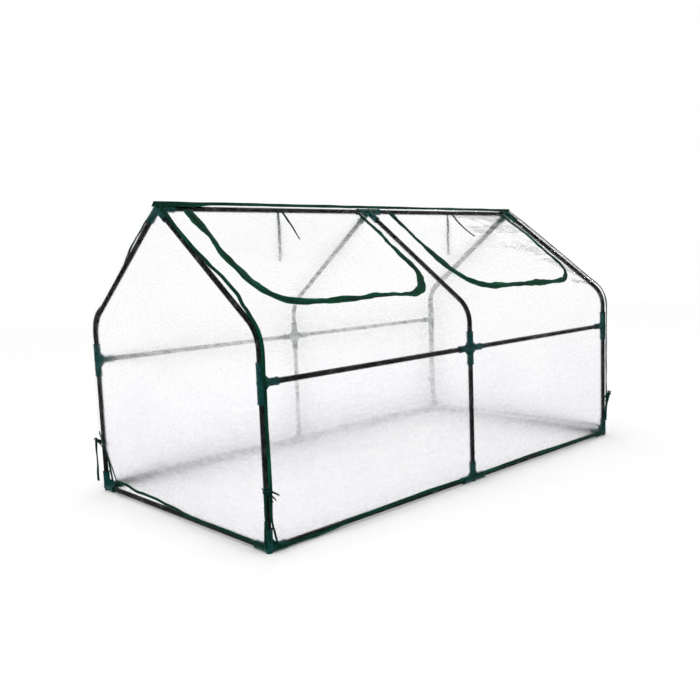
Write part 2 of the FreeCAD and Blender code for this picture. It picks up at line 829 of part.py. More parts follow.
def cord(label, points, radius):
    """A limp tie as a round tube of straight runs joined by tangent arcs."""
    route = [FreeCAD.Vector(*p) for p in points]
    runs = [(route[i + 1] - route[i]).Length for i in range(len(route) - 1)]
    edges = []
    at = route[0]
    radii = []
    for i in range(1, len(route) - 1):
        before = (route[i - 1] - route[i]).normalize()
        after = (route[i + 1] - route[i]).normalize()
        turn = math.pi - before.getAngle(after)
        bend = 0.45 * min(runs[i - 1], runs[i]) / math.tan(turn / 2)
        back = 0.45 * min(runs[i - 1], runs[i])
        radii.append(bend)
        start = route[i] + before * back
        end = route[i] + after * back
        middle = (before + after).normalize()
        centre = route[i] + middle * (bend / math.sin((math.pi - turn) / 2))
        edges.append(Part.LineSegment(at, start).toShape())
        edges.append(Part.Arc(start, centre - middle * bend, end).toShape())
        at = end
    edges.append(Part.LineSegment(at, route[-1]).toShape())
    path = Part.Wire(edges)
    direction = route[1] - route[0]
    section = Part.Wire([Part.Circle(route[0], direction, radius).toShape()])
    solid = path.makePipeShell([section], True, False)
    made = doc.addObject("Part::Feature", label)
    made.Shape = solid
    made.Label = label
    ideal = math.pi * radius ** 2 * path.Length
    print("%s: length %.1f mm, smallest arc %.1f mm, volume %.3f of section x length"
          % (label, path.Length, min(radii), solid.Volume / ideal))
    return keep(made)


def on_roof(points, x, out):
    """Points (across from x, down the slope) in the row frame, at a height out of the roof."""
    frame = roof_place(x, out)
    return [tuple(frame.multVec(FreeCAD.Vector(p[0], -p[1], 0))) for p in points]


# Routes of the window ties, from the ridge to the free end: across and down the slope for the
# outer ones, and row X, Y and Z for the ones that hang inside.
OUTER_TIES = {
    "left": [(4, 22), (1, 52), (-7, 84), (-12, 118), (-22, 152), (-31, 188)],
    "right": [(10, 22), (3, 50), (-8, 78), (-13, 112), (-14, 146), (-8, 186)],
}
INNER_TIES = {
    "left": [(-434, -11.5, 938), (-434, -12, 916), (-432, -13, 880), (-433, -12, 842),
             (-431, -11, 804), (-433, -10, 770)],
    "right": [(443, -11.5, 938), (443, -12, 915), (445, -13, 880), (443, -11, 843),
              (445, -10, 806), (444, -12, 768)],
}
# Tails of the corner ties, from the knot down, as distances out from the knot's centre line
CORNER_TAILS = {
    "front_left": [(0, 0, 174), (1, 1.5, 150), (4, 1, 120), (2, 2, 88), (-3, 1, 60), (-8, 2, 34)],
    "back_left": [(0, 0, 174), (2, 1, 148), (3, -4, 118), (2, -2, 86), (3, 1, 58), (1, 4, 32)],
    "front_right": [(0, 0, 174), (-1, 2, 150), (-7, 3, 126), (-13, 2, 104), (-16, 3, 84), (-15, 2, 64)],
    "back_right": [(0, 0, 174), (1, 1, 150), (2, -3, 122), (1, -6, 94), (2, -5, 68), (1, -2, 44)],
}


def make_ties():
    radius = V["tie_radius"]
    for side, sign in (("left", -1), ("right", 1)):
        x = sign * V["window_x"]
        level = V["flap_level"] + V["flap_thickness"] + V["tie_gap"] + radius
        cord("window_tie_outer_" + side, on_roof(OUTER_TIES[side], x, level), radius)
        cord("window_tie_inner_" + side, INNER_TIES[side], radius)
    knots = []
    for corner, tail in CORNER_TAILS.items():
        depth, side = corner.split("_")
        sign_x = -1 if side == "left" else 1
        sign_y = -1 if depth == "front" else 1
        x = sign_x * (V["tape_out_x"] + V["knot_offset"])
        y = sign_y * (V["tape_out_y"] + V["knot_offset"])
        knot = doc.addObject("Part::Prism", "knot_" + corner)
        knot.Polygon = 8
        knot.setExpression("Circumradius", "dims.knot_radius")
        knot.setExpression("Height", "dims.knot_height")
        knot.Placement = place(x, y, V["knot_z"] - V["knot_height"] / 2)
        knots.append(knot)
        points = [(x + sign_x * p[0], y + sign_y * p[1], p[2]) for p in tail]
        cord("corner_tie_" + corner, points, radius)
    group("corner_tie_knots", knots)


# ---------------------------------------------------------------- build and write

make_tubes()
make_connectors()
for depth, turn in (("front", 0), ("back", 180)):
    wall_panel(depth + "_wall_film", turn)
    roof_panel(depth + "_roof_film", turn, depth == "front")
for end, turn in (("left", 0), ("right", 180)):
    end_panel(end + "_end_film", turn)
    gable_binding(end + "_gable_binding", turn)
ridge_binding()
hem_binding()
for side, sign in (("left", -1), ("right", 1)):
    middle_x = sign * V["window_x"]
    window_zip(side, middle_x)
    window_flap(side, middle_x)
    zip_slider(side, middle_x)
make_ties()
doc.recompute()

for item in doc.Objects:
    if "Invalid" in item.State or "Error" in item.State:
        raise RuntimeError("%s failed: %s" % (item.Label, item.State))
for node in nodes:
    if node.Shape.isNull() or not node.Shape.isValid():
        raise RuntimeError(node.Label + " has no valid shape")

os.makedirs("parts", exist_ok=True)
for node in nodes:
    node.Shape.exportStep("parts/%s.step" % node.Label)
box_all = Part.makeCompound([node.Shape for node in nodes]).BoundBox
print("%d sub-parts, %.1f x %.1f x %.1f mm, lowest %.2f"
      % (len(nodes), box_all.XLength, box_all.YLength, box_all.ZLength, box_all.ZMin))
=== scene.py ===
import json
import math
from collections import Counter

import bmesh
import bpy
import numpy as np
from mathutils import Matrix, Vector, noise


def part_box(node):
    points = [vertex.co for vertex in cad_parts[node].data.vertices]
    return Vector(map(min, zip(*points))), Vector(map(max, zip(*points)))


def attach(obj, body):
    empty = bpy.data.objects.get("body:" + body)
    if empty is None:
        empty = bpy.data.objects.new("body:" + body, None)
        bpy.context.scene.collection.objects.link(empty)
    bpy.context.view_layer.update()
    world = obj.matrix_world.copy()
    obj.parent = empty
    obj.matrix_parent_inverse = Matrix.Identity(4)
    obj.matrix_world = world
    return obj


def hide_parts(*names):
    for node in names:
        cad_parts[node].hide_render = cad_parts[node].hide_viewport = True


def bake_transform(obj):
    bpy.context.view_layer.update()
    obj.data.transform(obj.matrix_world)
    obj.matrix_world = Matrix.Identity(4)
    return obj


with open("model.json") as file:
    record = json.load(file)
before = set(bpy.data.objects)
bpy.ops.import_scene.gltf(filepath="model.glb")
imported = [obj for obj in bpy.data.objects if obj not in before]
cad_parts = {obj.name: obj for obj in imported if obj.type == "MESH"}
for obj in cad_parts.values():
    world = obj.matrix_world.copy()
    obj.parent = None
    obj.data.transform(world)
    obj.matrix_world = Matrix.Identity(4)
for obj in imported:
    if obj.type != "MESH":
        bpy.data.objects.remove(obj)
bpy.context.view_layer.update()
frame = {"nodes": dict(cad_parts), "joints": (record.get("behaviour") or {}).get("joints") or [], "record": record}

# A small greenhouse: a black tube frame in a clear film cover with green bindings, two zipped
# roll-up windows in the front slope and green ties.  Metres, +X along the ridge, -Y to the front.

# ---- places, from the frame


def middle(node):
    low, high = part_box(node)
    return (low + high) / 2


JOINTS = {joint["name"]: joint for joint in frame["joints"]}
FLAPS = 6
RIDGE_Z = middle("ridge_tubes").z
RAIL_Z = middle("side_rails_front").z
BASE_Z = middle("base_tubes_front").z
TUBE_RADIUS = 0.008
HALF_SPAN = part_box("lower_posts_front")[1].x - TUBE_RADIUS
HALF_WIDTH = middle("side_rails_back").y
FIRST_HINGE = Vector(JOINTS["right_window_roll"]["pos_m"])
LAST_HINGE = Vector(JOINTS["right_window_fold_%d" % FLAPS]["pos_m"])
WINDOW_X = FIRST_HINGE.x
DOWN = (LAST_HINGE - FIRST_HINGE).normalized()
COS, SIN = -DOWN.y, -DOWN.z
RIDGE = Vector((0, 0, RIDGE_Z))


def down_slope(joint):
    """How far down the front slope from the ridge line a joint lies."""
    at = Vector(JOINTS[joint]["pos_m"]) - RIDGE
    return at.y * DOWN.y + at.z * DOWN.z


HINGES = [down_slope("right_window_roll")]
HINGES += [down_slope("right_window_fold_%d" % (i + 1)) for i in range(1, FLAPS)]

# The frame's line from the ridge to the ground, measured as v: slope, eave bend, wall
EAVE_RADIUS = 0.100
BEND = math.pi / 2 - math.atan2(SIN, COS)
EAVE_TANGENT = EAVE_RADIUS * math.tan(BEND / 2)
BEND_START = HALF_WIDTH / COS - EAVE_TANGENT
BEND_END = BEND_START + EAVE_RADIUS * BEND
WALL_TOP = RIDGE_Z - HALF_WIDTH * SIN / COS - EAVE_TANGENT

FILM = 0.0125  # the film's middle, out from the tube centrelines
FILM_THICKNESS = 0.0004
CORNER = HALF_SPAN + FILM  # where the front and back sheets meet the end sheets

ZIP_HALF = 0.353  # window zip: the teeth's line, a U that opens to the ridge
ZIP_BOTTOM = 0.492
ZIP_RADIUS = 0.148
ZIP_TOP = 0.024
FLAP_START = HINGES[0] - 0.030
TAPE_WIDTH = 0.0155
TAPE_THICKNESS = 0.0009
TAPE_LIFT = 0.0004  # the zip tape's height over the film
TAPE_STEP = 0.004
ZIP_GAP = 0.0007  # from the teeth's line to either half's tape
FLAP_INSET = 0.004  # from the teeth's line to the flap's film


def wall_v(z):
    return BEND_END + WALL_TOP - z


def wall_z(v):
    return WALL_TOP + BEND_END - v


def smooth(t):
    t = min(max(t, 0.0), 1.0)
    return t * t * (3 - 2 * t)


def through(stations):
    """A smooth function through (place, value) stations in rising order."""
    def value(t):
        if t <= stations[0][0]:
            return stations[0][1]
        for (a, low), (b, high) in zip(stations, stations[1:]):
            if t <= b:
                return low + (high - low) * smooth((t - a) / (b - a))
        return stations[-1][1]
    return value


def waver(t, scale, seed):
    """A wandering value between about -1 and 1 along a length."""
    return noise.noise(Vector((t / scale, seed * 7.31, 2.17)))


# ---- the cover's surfaces


def profile(v, out):
    """(y, z) of the front profile at v, and the outward direction there, as (y, z)."""
    if v <= BEND_START:
        return (-v * COS - out * SIN, RIDGE_Z - v * SIN + out * COS), (-SIN, COS)
    if v >= BEND_END:
        return (-HALF_WIDTH - out, wall_z(v)), (-1.0, 0.0)
    turn = math.atan2(SIN, COS) + (v - BEND_START) / EAVE_RADIUS
    centre_y = -HALF_WIDTH + EAVE_RADIUS
    reach = EAVE_RADIUS + out
    way = (-math.sin(turn), math.cos(turn))
    return (centre_y + way[0] * reach, WALL_TOP + way[1] * reach), way


HOLD_REACH = 0.08  # a tube's hold on the front and back sheets fades over this distance
END_HOLD_REACH = 0.09  # and on the end sheets
# Ripples of the front and back sheets: height, how fast they vary along x and v, and a seed
RIPPLES = [(0.0016, 2.1, 2.6, 0.0), (0.0011, 3.4, 15.0, 5.0), (0.0005, 14.0, 31.0, 9.0)]
# Ripples of the end sheets: height, how fast they vary along y + z and z - y, and a seed
END_RIPPLES = [(0.0020, 2.7, 0.0, 2.4, 0.0, 20.0), (0.0013, 11.0, 5.0, 4.2, 2.0, 25.0),
               (0.0006, 26.0, 0.0, 22.0, 0.0, 29.0)]
CREASE_HEIGHT = 0.0013
CREASE_RAYS = 9
CREASE_FADE = 0.17
CREASE_LIMIT = 0.4
# Tension creases fan out from these places: x, v and a phase
CREASE_CENTRES = [
    (0.0, BEND_START, 0.4), (0.0, wall_v(RAIL_Z), 1.9), (-HALF_SPAN, BEND_START, 2.7),
    (HALF_SPAN, BEND_START, 0.9), (-HALF_SPAN, wall_v(BASE_Z), 1.2), (HALF_SPAN, wall_v(BASE_Z), 2.2),
]


def slack(x, v):
    """0 where a tube holds the sheet, 1 in the open."""
    held = min(abs(abs(x) - HALF_SPAN), abs(x), abs(v - wall_v(RAIL_Z)), v + 0.01)
    return smooth(held / HOLD_REACH)


def wrinkle(x, v, seed):
    """How far the film stands out of its flat place: slow billows, long folds and tension creases."""
    ripple = 0.0
    for height, per_x, per_v, shift in RIPPLES:
        ripple += height * noise.noise(Vector((x * per_x, v * per_v, seed + shift)))
    crease = 0.0
    for cx, cv, phase in CREASE_CENTRES:
        away = math.hypot(x - cx, v - cv)
        if away < CREASE_LIMIT:
            ray = math.atan2(v - cv, x - cx)
            fade = math.exp(-(away / CREASE_FADE) ** 2)
            crease += CREASE_HEIGHT * fade * math.cos(CREASE_RAYS * ray + phase + seed)
    return slack(x, v) * (ripple + crease)


def cover(side):
    """The surface function of the front (-1) or back (1) sheet: (x, v, lift) to a point."""
    def point(x, v, lift=0.0):
        (y, z), way = profile(v, FILM + lift + wrinkle(x, v, 3.0 + side))
        return Vector((x, -side * y, z))
    return point


def end_cover(end):
    """The surface function of the left (-1) or right (1) end sheet: (y, z, lift) to a point."""
    def point(y, z, lift=0.0):
        held = min(abs(abs(y) - HALF_WIDTH), abs(z - BASE_Z) + 0.02)
        ripple = 0.0
        for height, a, b, c, d, seed in END_RIPPLES:
            ripple += height * noise.noise(Vector((y * a + z * b, z * c - y * d, seed + end)))
        return Vector((end * (CORNER + lift + smooth(held / END_HOLD_REACH) * ripple), y, z))
    return point


# The hem's height along each wall
HEM = {
    "front": through([(-0.89, 0.012), (-0.70, 0.010), (-0.52, 0.020), (-0.25, 0.024), (0.0, 0.021),
                      (0.3, 0.024), (0.6, 0.020), (0.89, 0.014)]),
    "back": through([(-0.89, 0.016), (-0.4, 0.024), (0.0, 0.018), (0.45, 0.025), (0.89, 0.016)]),
    "left": through([(-0.48, 0.020), (-0.25, 0.023), (-0.12, 0.023), (0.03, 0.034), (0.12, 0.040),
                     (0.22, 0.041), (0.30, 0.049), (0.41, 0.050), (0.48, 0.034)]),
    "right": through([(-0.48, 0.018), (-0.43, 0.035), (0.1, 0.034), (0.35, 0.026), (0.48, 0.017)]),
}
# Corner notches: height where the seam parts, and the run of its two legs along the front or back
# wall and along the end wall
NOTCH = {
    ("front", "left"): (0.086, 0.020, 0.008),
    ("front", "right"): (0.074, 0.030, 0.012),
    ("back", "left"): (0.205, 0.026, 0.135),
    ("back", "right"): (0.090, 0.028, 0.020),
}
# The seam binding's place on the roof and walls, inward from the end arch's plane, by v
SEAM_IN = {
    "left": through([(0.0, 0.000), (0.10, -0.003), (0.20, -0.005), (0.29, 0.004), (0.37, 0.015),
                     (0.43, 0.015), (0.49, 0.006), (0.54, -0.001), (0.62, 0.001), (0.72, 0.003),
                     (1.10, 0.003)]),
    "right": through([(0.0, -0.004), (0.10, -0.010), (0.25, -0.010), (0.38, -0.007), (0.50, -0.004),
                      (0.60, -0.002), (0.80, 0.001), (1.10, 0.001)]),
}
SEAM_FIN = {"left": 0.0048, "right": 0.0105}  # how far the folded seam stands out past its line
LEG_HALF = 0.0035  # half the width of the binding round a notch
BINDING_THICKNESS = 0.0018
HEM_THICKNESS = 0.0020
ENDS = {"left": -1, "right": 1}
WALLS = {"front": -1, "back": 1}


def notch_in(z, top, run):
    """How far an edge is drawn in at height z below a notch's top."""
    return run * max(0.0, 1 - z / top)


# ---- mesh building


def add_object(name, mesh):
    made = bpy.data.objects.new(name, mesh)
    bpy.context.scene.collection.objects.link(made)
    return made


def build(name, points, faces, uvs, materials, slots=None):
    """A smooth-shaded mesh object with one UV pair per point, in metres."""
    mesh = bpy.data.meshes.new(name)
    mesh.from_pydata([tuple(p) for p in points], [], faces)
    for material in materials:
        mesh.materials.append(material)
    layer = mesh.uv_layers.new(name="cut")
    corner = np.zeros(len(mesh.loops), int)
    mesh.loops.foreach_get("vertex_index", corner)
    layer.data.foreach_set("uv", np.array(uvs, float)[corner].ravel())
    mesh.polygons.foreach_set("use_smooth", [True] * len(faces))
    if slots:
        mesh.polygons.foreach_set("material_index", slots)
    return add_object(name, mesh)


def grid_faces(rows, columns):
    """The quads between points laid row by row."""
    return [(a, a + 1, a + columns + 1, a + columns)
            for j in range(rows - 1) for a in range(j * columns, (j + 1) * columns - 1)]


def face_outward(obj):
    work = bmesh.new()
    work.from_mesh(obj.data)
    bmesh.ops.recalc_face_normals(work, faces=work.faces)
    work.to_mesh(obj.data)
    work.free()
    return obj


def rim_of(faces):
    """The edges that only one face uses."""
    uses = Counter(tuple(sorted(pair)) for face in faces for pair in zip(face, face[1:] + face[:1]))
    return {edge for edge, count in uses.items() if count == 1}


def build_film(name, points, faces, uvs):
    """A film sheet as a closed thin solid. It thins to nothing at its edges, so that neighbouring
    strips meet without a line."""
    rim = rim_of(faces)
    ends = {v for edge in rim for v in edge}
    while any(ends.issuperset(face) for face in faces):
        faces = [face for face in faces if not ends.issuperset(face)]
        rim = rim_of(faces)
        ends = {v for edge in rim for v in edge}
    flat = bpy.data.meshes.new(name + "_flat")
    flat.from_pydata(points, [], faces)
    used = {v for face in faces for v in face}
    outer, inner, skin, cuts = {}, {}, [], []
    for vertex in flat.vertices:
        at = vertex.index
        if at not in used:
            continue
        lift = vertex.normal * (0.0 if at in ends else FILM_THICKNESS / 2)
        outer[at] = inner[at] = len(skin)
        skin.append(vertex.co + lift)
        cuts.append(uvs[at])
        if at not in ends:
            inner[at] = len(skin)
            skin.append(vertex.co - lift)
            cuts.append(uvs[at])
    both = [tuple(outer[v] for v in face) for face in faces]
    both += [tuple(inner[v] for v in reversed(face)) for face in faces]
    piece = build(name, skin, both, cuts, [MATERIALS["clear_film"]])
    sharp = {tuple(sorted((outer[a], outer[b]))) for a, b in rim}
    for edge in piece.data.edges:
        edge.use_edge_sharp = tuple(sorted(edge.vertices)) in sharp
    return face_outward(piece)


class Sweep:
    """Swept runs gathered into one piece: each run is rings of points, closed round and capped."""

    def __init__(self):
        self.points, self.faces, self.uvs, self.slots = [], [], [], []

    def run(self, rings, across, slot=0, loop=False):
        """Adds a run: rings are (points round the run, length) pairs."""
        count = len(across)
        first = len(self.points)
        for ring, length in rings:
            self.points += ring
            self.uvs += [(length, q) for q in across]
        last = len(rings) if loop else len(rings) - 1
        for i in range(last):
            a = first + i * count
            b = first + (i + 1) % len(rings) * count
            for j in range(count):
                k = (j + 1) % count
                self.faces.append((a + j, a + k, b + k, b + j))
        if not loop:
            self.faces.append(tuple(first + j for j in range(count)))
            end = first + (len(rings) - 1) * count
            self.faces.append(tuple(end + j for j in reversed(range(count))))
        self.slots += [slot] * (len(self.faces) - len(self.slots))

    def build(self, name, materials):
        return face_outward(build(name, self.points, self.faces, self.uvs, materials, self.slots))


TAPE_ACROSS = (0.0, 0.06, 0.3, 0.5, 0.7, 0.94, 1.0)
TAPE_TOP = (0.6, 1.0, 1.0, 1.0, 1.0, 1.0, 0.6)
WEAVE_WIDTH = 0.012  # the width of weave that a tape shows unless both its edges wander


def lay_tape(sweep, surface, path, near, far, lift, thickness, curl=None):
    """Sweeps a flat tape that lies on a surface, from near to far off the path's line.
    near and far are numbers or functions of length; curl(length) raises the far edge."""
    rings = []
    for p, q, np_, nq, length in path:
        a = near(length) if callable(near) else near
        b = far(length) if callable(far) else far
        rise = curl(length) if curl else 0.0
        upper = []
        lower = []
        for share, top in zip(TAPE_ACROSS, TAPE_TOP):
            off = a + (b - a) * share
            base = lift + rise * share * share
            upper.append(surface(p + np_ * off, q + nq * off, base + thickness * top))
            lower.append(surface(p + np_ * off, q + nq * off, base + thickness * (1 - top)))
        rings.append((upper + lower[::-1], length))
    woven = abs(far(0) - near(0)) if callable(near) and callable(far) else WEAVE_WIDTH
    across = [woven * s for s in TAPE_ACROSS]
    sweep.run(rings, across + across[::-1])


def measured(path):
    """A path's points, each with the length up to it added."""
    out = []
    length = 0.0
    for i, step in enumerate(path):
        if i:
            length += math.hypot(step[0] - path[i - 1][0], step[1] - path[i - 1][1])
        out.append((*step, length))
    return out


def with_normals(points, turn=1):
    """(p, q, normal p, normal q, length) along plain (p, q) points."""
    out = []
    for i, (p, q) in enumerate(points):
        before = points[max(i - 1, 0)]
        after = points[min(i + 1, len(points) - 1)]
        along = Vector((after[0] - before[0], after[1] - before[1])).normalized()
        out.append((p, q, along.y * turn, -along.x * turn))
    return measured(out)


def steps(start, end, size):
    return np.linspace(start, end, max(2, int(abs(end - start) / size) + 1))


# ---- materials


class Nodes:
    """Short calls for building one material's node tree."""

    def __init__(self, name):
        self.material = bpy.data.materials.new(name)
        self.material.use_nodes = True
        self.tree = self.material.node_tree
        self.shader = self.tree.nodes["Principled BSDF"]

    def add(self, kind, **settings):
        node = self.tree.nodes.new(kind)
        for key, value in settings.items():
            setattr(node, key, value)
        return node

    def link(self, out, into):
        self.tree.links.new(out, into)

    def set(self, **values):
        for key, value in values.items():
            self.shader.inputs[key.replace("_", " ")].default_value = value

    def place(self, kind, scale=1.0):
        """Texture space: kind is UV or Object, and scale is one number, or one for each axis."""
        coordinates = self.add("ShaderNodeTexCoord")
        mapping = self.add("ShaderNodeMapping")
        mapping.inputs["Scale"].default_value = scale if isinstance(scale, tuple) else (scale,) * 3
        self.link(coordinates.outputs[kind], mapping.inputs["Vector"])
        return mapping.outputs["Vector"]

    def noise(self, kind, scale, detail=2.0, rough=0.5, warp=0.0):
        node = self.add("ShaderNodeTexNoise")
        node.inputs["Scale"].default_value = 1.0
        node.inputs["Detail"].default_value = detail
        node.inputs["Roughness"].default_value = rough
        node.inputs["Distortion"].default_value = warp
        self.link(self.place(kind, scale), node.inputs["Vector"])
        return node.outputs["Fac"]

    def wave(self, space, scale, direction="X", profile="SIN"):
        node = self.add("ShaderNodeTexWave", bands_direction=direction, wave_profile=profile)
        node.inputs["Scale"].default_value = scale
        self.link(space, node.inputs["Vector"])
        return node.outputs["Fac"]

    def range(self, value, low, high, to_low, to_high):
        node = self.add("ShaderNodeMapRange", interpolation_type="SMOOTHSTEP")
        keys = ("From Min", "From Max", "To Min", "To Max")
        for key, number in zip(keys, (low, high, to_low, to_high)):
            node.inputs[key].default_value = number
        self.link(value, node.inputs["Value"])
        return node.outputs["Result"]

    def math(self, operation, a, b):
        node = self.add("ShaderNodeMath", operation=operation)
        for socket, value in zip(node.inputs, (a, b)):
            if isinstance(value, (int, float)):
                socket.default_value = value
            else:
                self.link(value, socket)
        return node.outputs["Value"]

    def colours(self, value, stops):
        node = self.add("ShaderNodeValToRGB")
        ramp = node.color_ramp
        ramp.elements[0].position, ramp.elements[0].color = stops[0][0], (*stops[0][1], 1)
        ramp.elements[1].position, ramp.elements[1].color = stops[-1][0], (*stops[-1][1], 1)
        for at, colour in stops[1:-1]:
            ramp.elements.new(at).color = (*colour, 1)
        self.link(value, node.inputs["Fac"])
        return node.outputs["Color"]

    def bump(self, height, strength, distance, after=None):
        node = self.add("ShaderNodeBump")
        node.inputs["Strength"].default_value = strength
        node.inputs["Distance"].default_value = distance
        self.link(height, node.inputs["Height"])
        if after:
            self.link(after, node.inputs["Normal"])
        return node.outputs["Normal"]

    def finish(self, colour=None, roughness=None, normal=None, alpha=None):
        keys = ("Base Color", "Roughness", "Normal", "Alpha")
        for key, value in zip(keys, (colour, roughness, normal, alpha)):
            if value:
                self.link(value, self.shader.inputs[key])
        return self.material


def film_material():
    """Clear soft film: hazy in drawn-out streaks and patches and low on the walls, finely creased. Its tint greys
    in random patches, and greys to lavender low on the walls as a painted reflection of the floor.
    """
    n = Nodes("clear film")
    n.set(Transmission_Weight=1.0, IOR=1.06, Roughness=0.95, Coat_Weight=0.03, Coat_Roughness=0.12)
    streaks = n.noise("UV", (2.6, 46.0, 1), 3.0, 0.6, 0.6)
    patches = n.noise("UV", (2.2, 3.4, 1), 2.0)
    creases = n.noise("UV", (7.0, 24.0, 1), 2.0, 0.5, 1.4)
    crackle = n.noise("UV", (40.0, 90.0, 1), 1.0, 0.5, 0.8)
    streaked = n.range(streaks, 0.35, 0.75, 0.0, 0.13)
    haze = n.math("ADD", streaked, n.range(patches, 0.35, 0.7, 0.0, 0.12))
    split = n.add("ShaderNodeSeparateXYZ")
    n.link(n.place("UV"), split.inputs["Vector"])
    lower = n.range(split.outputs["Y"], 0.50, 1.1, 0.0, 0.42)
    broken = n.range(crackle, 0.38, 0.62, 0.18, 0.34)
    alpha = n.math("ADD", n.math("ADD", haze, lower), broken)
    # The tint greys in random patches, and greys to lavender low on the walls as a painted reflection of the
    # floor.
    stops = [(0.3, (0.978, 0.980, 0.981)), (0.8, (0.918, 0.915, 0.932))]
    tint = n.colours(n.math("ADD", patches, lower), stops)
    fine = n.bump(creases, 0.20, 0.002)
    normal = n.bump(streaks, 0.15, 0.001, fine)
    return n.finish(tint, None, normal, alpha)


def tube_material():
    """Satin black coated steel with a fine grain and faint dust, and pale streaks painted into the colour as
    highlights.
    """
    n = Nodes("black tube coat")
    n.set(Specular_IOR_Level=0.05, Coat_Weight=0.01, Coat_Roughness=0.22)
    grain = n.noise("Object", 900, 2.0)
    dust_and_highlight = n.noise("Object", 26, 4.0, 0.65)
    # The lower stops are faint dust on the black; the pale top stop paints highlight streaks along the tubes.
    colour = n.colours(dust_and_highlight, [
        (0.3, (0.0015, 0.0018, 0.002)), (0.56, (0.004, 0.005, 0.005)), (0.72, (0.09, 0.092, 0.093))])
    return n.finish(colour, n.range(dust_and_highlight, 0.3, 0.8, 0.26, 0.5), n.bump(grain, 0.10, 0.0004))


def connector_material():
    """Moulded blue-green plastic with a fine spark texture and paler scuffed patches."""
    n = Nodes("connector plastic")
    n.set(Specular_IOR_Level=0.07, Coat_Weight=0.02, Coat_Roughness=0.3)
    grain = n.noise("Object", 1500, 1.0)
    mottle = n.noise("Object", 30, 5.0, 0.6)
    colour = n.colours(mottle, [
        (0.3, (0.0006, 0.026, 0.023)), (0.6, (0.001, 0.044, 0.039)), (0.85, (0.012, 0.11, 0.095))])
    return n.finish(colour, n.range(mottle, 0.3, 0.8, 0.28, 0.48), n.bump(grain, 0.14, 0.0004))


def tape_material(name, dark, light, warp_scale, stitch_at):
    """Woven tape: ribs across, a faint warp, and a line of stitches at stitch_at across it."""
    n = Nodes(name)
    n.set(Specular_IOR_Level=0.04, Sheen_Weight=0.01, Sheen_Roughness=0.45)
    space = n.place("UV")
    ribs = n.wave(space, warp_scale, "X")
    warps = n.wave(space, warp_scale * 1.3, "Y")
    weave = n.math("MULTIPLY", ribs, warps)
    fade = n.noise("UV", (9, 60, 1), 4.0, 0.6)
    wear = n.noise("UV", (420, 420, 1), 2.0)
    tone = n.math("ADD", n.math("MULTIPLY", fade, 0.75), n.math("MULTIPLY", wear, 0.25))
    # In patches along the tape, the colour runs from dark green through the tape's green to a painted highlight at
    # its pale end.
    painted_highlight = (light[0] * 5, light[1] * 3.2, light[2] * 3.2)
    base = n.colours(tone, [(0.36, dark), (0.54, light), (0.70, painted_highlight)])
    split = n.add("ShaderNodeSeparateXYZ")
    n.link(space, split.inputs["Vector"])
    dash = n.range(n.math("PINGPONG", split.outputs["X"], 0.0016), 0.0005, 0.0008, 0.0, 1.0)
    off = n.math("ABSOLUTE", n.math("SUBTRACT", split.outputs["Y"], stitch_at), 0.0)
    stitch = n.math("MULTIPLY", dash, n.range(off, 0.0003, 0.0007, 1.0, 0.0))
    mixed = n.add("ShaderNodeMix", data_type="RGBA")
    n.link(stitch, mixed.inputs["Factor"])
    n.link(base, mixed.inputs["A"])
    mixed.inputs["B"].default_value = (light[0] * 2.2, light[1] * 1.7, light[2] * 1.9, 1)
    woven = n.bump(weave, 0.45, 0.0005)
    normal = n.bump(stitch, 0.6, 0.0006, woven)
    return n.finish(mixed.outputs["Result"], n.range(tone, 0.3, 0.7, 0.5, 0.72), normal)


def coil_material():
    """Dark green nylon zip coil, a little glossy."""
    n = Nodes("zip coil nylon")
    n.set(Specular_IOR_Level=0.10)
    tone = n.noise("UV", (60, 400, 1), 3.0)
    colour = n.colours(tone, [(0.35, (0.0003, 0.008, 0.005)), (0.7, (0.001, 0.036, 0.020))])
    return n.finish(colour, n.range(tone, 0.3, 0.7, 0.28, 0.42), n.bump(tone, 0.2, 0.0003))


def enamel_material():
    """Dark green enamel on a die-cast slider, worn to bare metal in specks."""
    n = Nodes("slider enamel")
    n.set(Specular_IOR_Level=0.5, Coat_Weight=0.3, Coat_Roughness=0.15)
    wear = n.noise("Object", 240, 4.0, 0.6)
    colour = n.colours(wear, [
        (0.4, (0.003, 0.020, 0.012)), (0.72, (0.006, 0.040, 0.024)), (0.80, (0.25, 0.25, 0.24))])
    return n.finish(colour, n.range(wear, 0.3, 0.8, 0.25, 0.4), n.bump(wear, 0.15, 0.0002))


def floor_material():
    """Plain pale studio floor with the slightest tooth."""
    n = Nodes("studio floor")
    n.set(Specular_IOR_Level=0.15)
    tooth = n.noise("Object", 40, 3.0)
    colour = n.colours(tooth, [(0.3, (0.985, 0.985, 0.985)), (0.7, (0.992, 0.992, 0.992))])
    return n.finish(colour, n.range(tooth, 0.3, 0.7, 0.8, 0.9))


MATERIALS = {
    "clear_film": film_material(),
    "tube_black": tube_material(),
    "connector_green": connector_material(),
    "green_binding": tape_material(
        "binding tape", (0.0003, 0.006, 0.004), (0.0008, 0.036, 0.018), 1400, 0.0022),
    "zip_tape": tape_material(
        "zip tape", (0.0003, 0.007, 0.004), (0.0010, 0.056, 0.027), 1100, 0.0095),
    "tie_ribbon": tape_material(
        "tie ribbon", (0.0005, 0.008, 0.006), (0.001, 0.030, 0.019), 1600, 0.0012),
    "zip_metal": enamel_material(),
}
COIL = coil_material()
TAPES = [MATERIALS["zip_tape"], COIL]

for part in frame["record"]["subparts"]:
    for socket in frame["nodes"][part["node"]].material_slots:
        socket.material = MATERIALS[part["material_slot"]]


def hand_over(piece, slot, *nodes):
    """Rides a finished piece on the frame in place of CAD nodes; slot is not used."""
    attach(piece, "root")
    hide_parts(*nodes)


def finish_sweep(sweep, name, slot, node):
    hand_over(sweep.build(name, [MATERIALS[slot]]), slot, node)


# ---- camera and light


CAMERA_AT = (-2.103, -2.101, 0.770)
CAMERA_TURN = (43.36, 6.60, -2.23)  # heading, pitch down and roll, in degrees
CAMERA_LENS = 40.85
FLOOR_HALF = 9.0
FLOOR_DROP = 0.0005  # keeps the floor just under the feet


